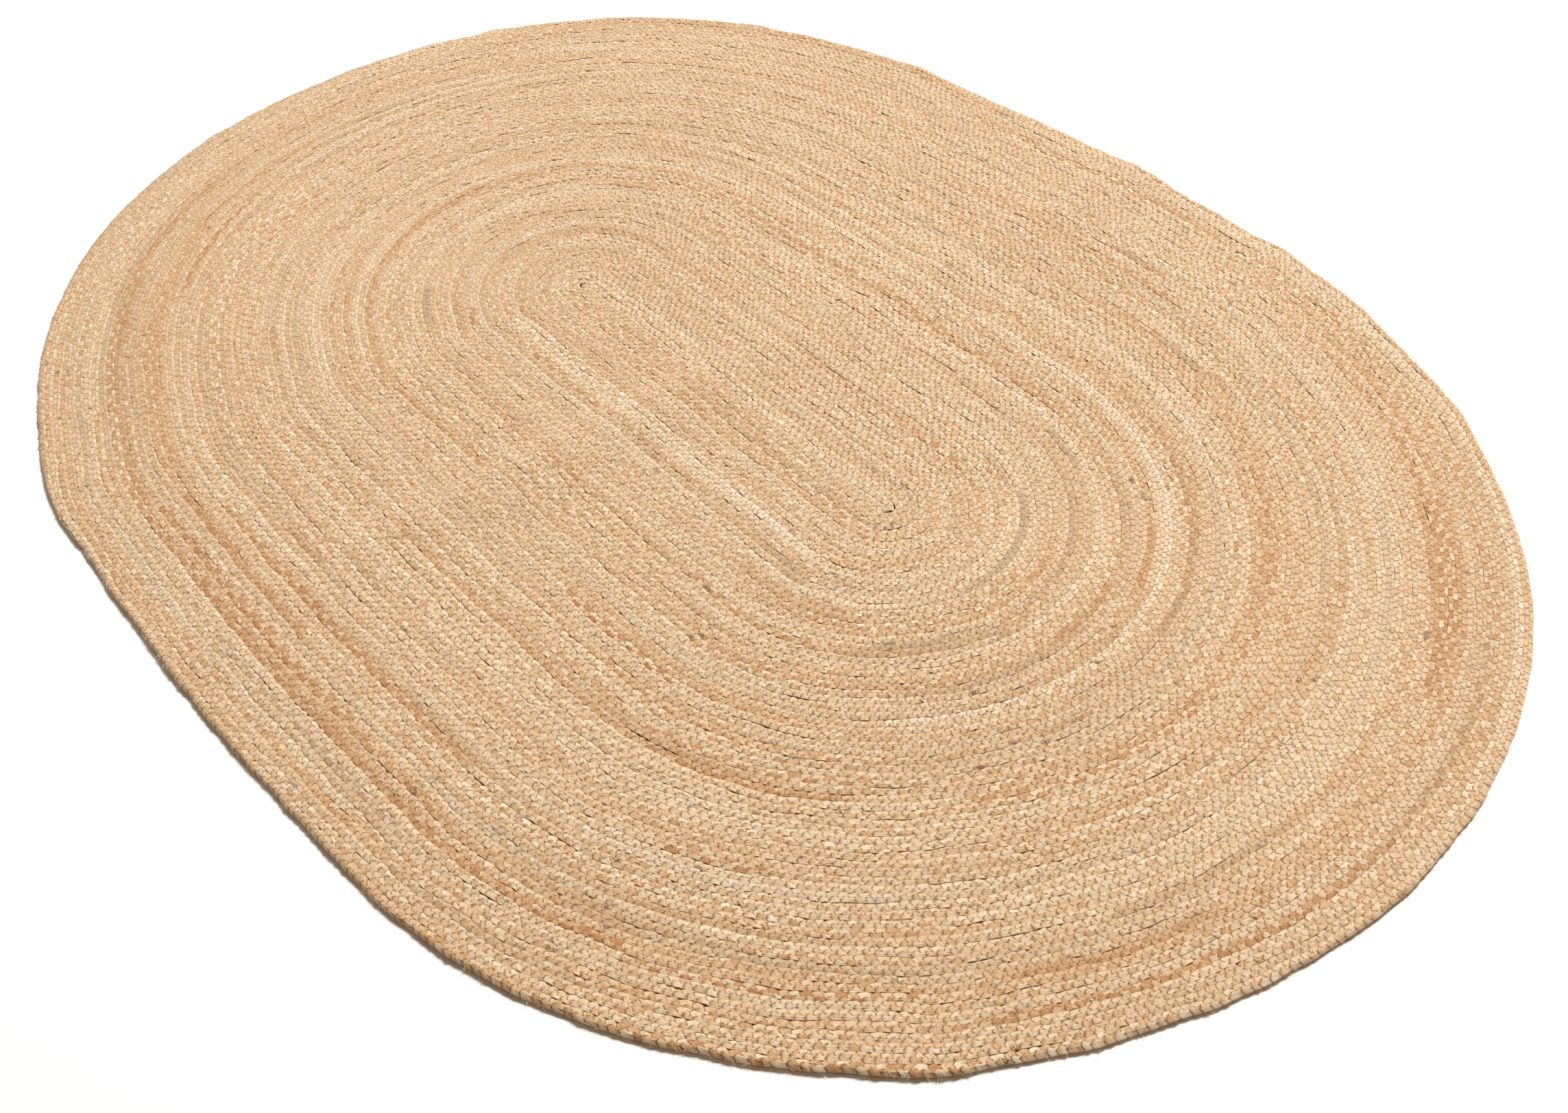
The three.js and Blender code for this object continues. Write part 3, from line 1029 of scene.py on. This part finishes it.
# A few lobes carry a dark bit of bark
bark_place = add_node(
    jute, "ShaderNodeCombineXYZ", inputs={0: lobe_count, 1: BARK_NOISE_ROW},
).outputs[0]
bark_chance = add_node(
    jute, "ShaderNodeTexWhiteNoise", {"noise_dimensions": "2D"}, {"Vector": bark_place},
).outputs["Value"]
bark_patches = add_node(
    jute,
    "ShaderNodeTexNoise",
    inputs={"Vector": spot, "Scale": 1 / BARK_PATCH_SIZE, "Detail": 0.0},
).outputs[0]
bark_limit = add_node(
    jute,
    "ShaderNodeMapRange",
    inputs={0: bark_patches, 1: NO_BARK_TO, 2: MOST_BARK_FROM, 3: 0.0, 4: BARK_CHANCE},
).outputs[0]
has_bark = add_node(
    jute,
    "ShaderNodeMath",
    {"operation": "LESS_THAN"},
    {0: bark_chance, 1: bark_limit},
).outputs[0]
bark_bits = add_node(
    jute,
    "ShaderNodeMapRange",
    inputs={0: blotches, 1: BARK_BIT_FROM, 2: BARK_BIT_FULL_FROM, 3: 0.0, 4: BARK_COVER},
).outputs[0]
on_top = add_node(
    jute,
    "ShaderNodeMath",
    {"operation": "GREATER_THAN"},
    {0: from_groove, 1: BARK_FROM_GROOVE},
).outputs[0]
bark_lobe = add_node(
    jute, "ShaderNodeMath", {"operation": "MULTIPLY"}, {0: has_bark, 1: on_top},
).outputs[0]
bark_share = add_node(
    jute, "ShaderNodeMath", {"operation": "MULTIPLY"}, {0: bark_lobe, 1: bark_bits},
).outputs[0]
finish_colour = add_node(
    jute,
    "ShaderNodeMix",
    {"data_type": "RGBA", "blend_type": "MIX"},
    {"Factor": bark_share, 6: with_painted_groove_shade, 7: linear(BARK_BROWN)},
).outputs[2]

# Dry fibre is matt, with a faint satin sheen and the bundles in low relief
fibre_relief = add_node(
    jute,
    "ShaderNodeBump",
    inputs={"Height": fibres, "Strength": 0.6, "Distance": FIBRE_RELIEF},
).outputs[0]
surface = add_node(
    jute,
    "ShaderNodeBsdfPrincipled",
    inputs={
        "Base Color": finish_colour,
        "Roughness": 0.8,
        "Specular IOR Level": 0.25,
        "Sheen Weight": 0.3,
        "Sheen Roughness": 0.5,
        "Normal": fibre_relief,
    },
)
add_node(jute, "ShaderNodeOutputMaterial", inputs={0: surface.outputs[0]})

for piece in plait_lengths:
    piece.data.materials.append(jute)
    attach(piece, "root")
    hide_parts("plaited_rug")


# Stray fibres
# Loose ends of jute fibre work out of the plait with wear. Most lie on it, and those of the
# outer lap stand out over the floor. One is modelled and copied, then each is bent its own way.
STRAY_RADIUS = 0.0002
STRAND_STEPS = 3
STRAND_SIDES = 3
STRAYS_ON_TOP = 4200
STRAYS_AT_RIM = 500
STRAY_LENGTHS = (0.006, 0.022)
RIM_STRAY_LENGTHS = (0.003, 0.008)
STRAY_LIFTS = (0.0006, 0.0018)

# Spread of the turn of a fibre along its length, in radians, about a usual turn that isn't 0
CURL_SPREAD = 1.3
USUAL_CURL = 0.01

# Where the fibres are rooted, as a share of the half width and of the lobes' height, and how
# far they turn aside from straight out at the rim, in radians
ROOTS_WITHIN = 0.9
ROOT_HEIGHT = 0.92
RIM_ROOTS_AT = 0.96
RIM_ROOT_HEIGHTS = (0.2, 0.8)
RIM_TURN_SPREAD = 0.9


def make_strands(name, radius, count):
    """Straight strands of unit length along X, all in one place, each a closed thin prism"""
    deselect_all()
    bpy.ops.mesh.primitive_circle_add(
        vertices=STRAND_SIDES,
        radius=radius,
        fill_type="NGON",
        rotation=(0, math.pi / 2, 0),
    )
    piece = bpy.context.object
    piece.name = name
    piece.data.name = name
    bpy.ops.object.transform_apply(location=True, rotation=True, scale=True)
    bpy.ops.object.mode_set(mode="EDIT")
    bpy.ops.mesh.select_all(action="SELECT")
    for _ in range(STRAND_STEPS):
        bpy.ops.mesh.extrude_region_move(
            TRANSFORM_OT_translate={"value": (1 / STRAND_STEPS, 0, 0)},
        )
    bpy.ops.mesh.select_all(action="SELECT")
    bpy.ops.mesh.normals_make_consistent(inside=False)
    bpy.ops.object.mode_set(mode="OBJECT")
    copies = piece.modifiers.new("copies", "ARRAY")
    copies.count = count
    copies.use_relative_offset = False
    bpy.ops.object.modifier_apply(modifier=copies.name)
    bpy.ops.object.shade_smooth()
    return piece


def strand_parts(piece, count):
    """The strand that each point belongs to, its share of the strand's length, and its
    offset from the strand's middle line sideways and upward"""
    places = places_of_points(piece.data)
    owner = np.arange(len(places)) // (len(places) // count)
    return owner, places[:, 0], places[:, 1], places[:, 2]


stray_count = STRAYS_ON_TOP + STRAYS_AT_RIM
stray_fibres = make_strands("stray_fibres", STRAY_RADIUS, stray_count)
at_rim = np.arange(stray_count) >= STRAYS_ON_TOP
root_distances = np.where(
    at_rim,
    random.uniform(OUTER_LAP_START, PLAIT_LENGTH - END_STRETCH, stray_count),
    random.uniform(0, PLAIT_LENGTH - END_STRETCH, stray_count),
)
root_outward = PLAIT_WIDTH / 2 * np.where(
    at_rim,
    RIM_ROOTS_AT,
    random.uniform(-ROOTS_WITHIN, ROOTS_WITHIN, stray_count),
)
root_heights = LOBE_HEIGHT * np.where(
    at_rim,
    random.uniform(*RIM_ROOT_HEIGHTS, stray_count),
    ROOT_HEIGHT,
)

# Outward is the way from a root to the place one lap further out
roots = laid(root_distances, root_outward, np.zeros(stray_count))
beyond = laid(root_distances, root_outward + PLAIT_WIDTH, np.zeros(stray_count))
outward_turns = np.arctan2(beyond[:, 1] - roots[:, 1], beyond[:, 0] - roots[:, 0])
headings = np.where(
    at_rim,
    outward_turns + random.normal(0, RIM_TURN_SPREAD, stray_count),
    random.uniform(0, 2 * math.pi, stray_count),
)
stray_lengths = np.where(
    at_rim,
    random.uniform(*RIM_STRAY_LENGTHS, stray_count),
    random.uniform(*STRAY_LENGTHS, stray_count),
)
curls = random.normal(0, CURL_SPREAD, stray_count) + USUAL_CURL
lifts = np.where(at_rim, 0, random.uniform(*STRAY_LIFTS, stray_count))

# Each fibre lies on an arc, from its root
owner, share, sideways, upward = strand_parts(stray_fibres, stray_count)
turn = headings[owner] + curls[owner] * share
run = stray_lengths[owner] / curls[owner]
stray_x = roots[owner, 0] + run * (np.sin(turn) - np.sin(headings[owner]))
stray_y = roots[owner, 1] - run * (np.cos(turn) - np.cos(headings[owner]))
stray_z = root_heights[owner] + lifts[owner] * np.sin(math.pi * share) + upward
stray_places = np.stack((
    stray_x - sideways * np.sin(turn),
    stray_y + sideways * np.cos(turn),
    stray_z + fold_lift(stray_x - RECENTRING[0], stray_y - RECENTRING[1]),
), axis=1)
stray_fibres.data.vertices.foreach_set("co", stray_places.ravel())
stray_fibres.data.update()


# Bare fibre, combed out of its strand: dry and paler than the plait, with a faint satin shine
def make_strand_finish(name, pale, dark, patch_size):
    """Dry fibre that changes from pale to dark in patches of the given size"""
    material = new_finish(name)
    place = add_node(material, "ShaderNodeTexCoord").outputs["Object"]
    patches = add_node(
        material,
        "ShaderNodeTexNoise",
        inputs={"Vector": place, "Scale": 1 / patch_size, "Detail": 1.0},
    ).outputs[0]
    spread = add_node(
        material,
        "ShaderNodeMapRange",
        inputs={0: patches, 1: 0.35, 2: 0.65, 3: 0.0, 4: 1.0},
    ).outputs[0]
    colour = add_node(
        material,
        "ShaderNodeMix",
        {"data_type": "RGBA", "blend_type": "MIX"},
        {"Factor": spread, 6: linear(pale), 7: linear(dark)},
    ).outputs[2]
    shader = add_node(
        material,
        "ShaderNodeBsdfPrincipled",
        inputs={"Base Color": colour, "Roughness": 0.6, "Specular IOR Level": 0.3},
    )
    add_node(material, "ShaderNodeOutputMaterial", inputs={0: shader.outputs[0]})
    return material


LOOSE_FIBRE_PATCH = 0.012
loose_fibre = make_strand_finish("loose jute fibre", "#F6E9D2", "#DDB98A", LOOSE_FIBRE_PATCH)
stray_fibres.data.materials.append(loose_fibre)
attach(stray_fibres, "root")


# Sewing thread
# The laps are sewn edge to edge with a fine pale thread in zigzag. It is sunk between the
# lobes nearly everywhere and shows only in short stretches.
THREAD_RADIUS = 0.00035
STITCHES_A_STRETCH = 9
STITCH_SPACING = 0.0016
STITCH_WIDTH = 0.0060
STITCH_LEAN = 0.0008
STITCH_HEIGHT = 0.97 * LOBE_HEIGHT
STITCH_LIFT = 0.0006

# Lap whose outer seam is sewn, and the place round the rim, of each stretch that shows
SHOWN_STITCHES = (
    (65, 1.43),
    (56, 1.42),
    (71, 0.52),
    (69, 5.95),
    (62, 2.30),
    (60, 0.75),
    (50, 1.88),
    (44, 5.60),
    (38, 1.10),
    (30, 2.60),
    (21, 1.30),
    (67, 3.30),
)


def distance_at(lap, around):
    """Distance along the plait of a place round the rim on a lap"""
    side = np.searchsorted(SIDE_STARTS, around, side="right") - 1
    share_of_side = (around - SIDE_STARTS[side]) / SIDE_LENGTHS[side]
    stretch = SIDES * lap + side
    return stretch_starts[stretch] + stretch_lengths[stretch] * share_of_side


stitch_count = STITCHES_A_STRETCH * len(SHOWN_STITCHES)
sewing_thread = make_strands("sewing_thread", THREAD_RADIUS, stitch_count)
owner, share, sideways, upward = strand_parts(sewing_thread, stitch_count)
stretch_distances = np.array([distance_at(lap, around) for lap, around in SHOWN_STITCHES])
stitch_places = stretch_distances[owner // STITCHES_A_STRETCH]
stitch_places = stitch_places + STITCH_SPACING * (owner % STITCHES_A_STRETCH)
thread_places = laid(
    stitch_places + STITCH_LEAN * share + sideways,
    PLAIT_WIDTH / 2 + STITCH_WIDTH * (share - 0.5),
    STITCH_HEIGHT + STITCH_LIFT * np.sin(math.pi * share) + upward,
)
sewing_thread.data.vertices.foreach_set("co", thread_places.ravel())
sewing_thread.data.update()

# Twisted of fine fibre and pale, so its finish is that of the loose fibres in finer patches
THREAD_PATCH = 0.004
thread_finish = make_strand_finish("twisted sewing thread", "#EFE6D8", "#D9C9B0", THREAD_PATCH)
sewing_thread.data.materials.append(thread_finish)
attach(sewing_thread, "root")


# Floor and light
# A plain pale floor. Seen from the camera, the key light stands far off behind the rug, to
# the right, so that the near left rim throws a narrow dark shadow, and a weak one nearer by
# fills in from behind the left end.
FLOOR_SIZE = 14
bpy.ops.mesh.primitive_plane_add(size=FLOOR_SIZE, location=(0, 0, 0))
floor = bpy.context.object
floor.name = "floor"
floor_paint = bpy.data.materials.new("pale matt floor")
floor_paint.use_nodes = True
floor_shader = floor_paint.node_tree.nodes["Principled BSDF"]
floor_shader.inputs["Base Color"].default_value = linear("#FFFFFF")
floor_shader.inputs["Roughness"].default_value = 0.9
floor.data.materials.append(floor_paint)

# Turn from the +X axis and height in degrees, distance, width, power and colour of each light
LIGHTS = (
    (106, 49, 16.0, 4.8, 3520, "#FFFDFA"),
    (165, 40, 6.0, 3.6, 60, "#FFF6EC"),
)
for turn, slope, distance, size, power, colour in LIGHTS:
    towards = Vector((
        math.cos(math.radians(turn)) * math.cos(math.radians(slope)),
        math.sin(math.radians(turn)) * math.cos(math.radians(slope)),
        math.sin(math.radians(slope)),
    ))
    bpy.ops.object.light_add(
        type="AREA",
        location=towards * distance,
        rotation=towards.to_track_quat("Z", "Y").to_euler(),
    )
    light = bpy.context.object
    light.data.size = size
    light.data.energy = power
    light.data.color = linear(colour)[:3]

# Weak warm light comes from all round
world = bpy.data.worlds.new("soft room light")
world.use_nodes = True
all_round = world.node_tree.nodes["Background"]
all_round.inputs["Color"].default_value = linear("#FFE2C2")
all_round.inputs["Strength"].default_value = 0.17
bpy.context.scene.world = world

# The standard view shows the finishes in the colours given here
bpy.context.scene.view_settings.view_transform = "Standard"
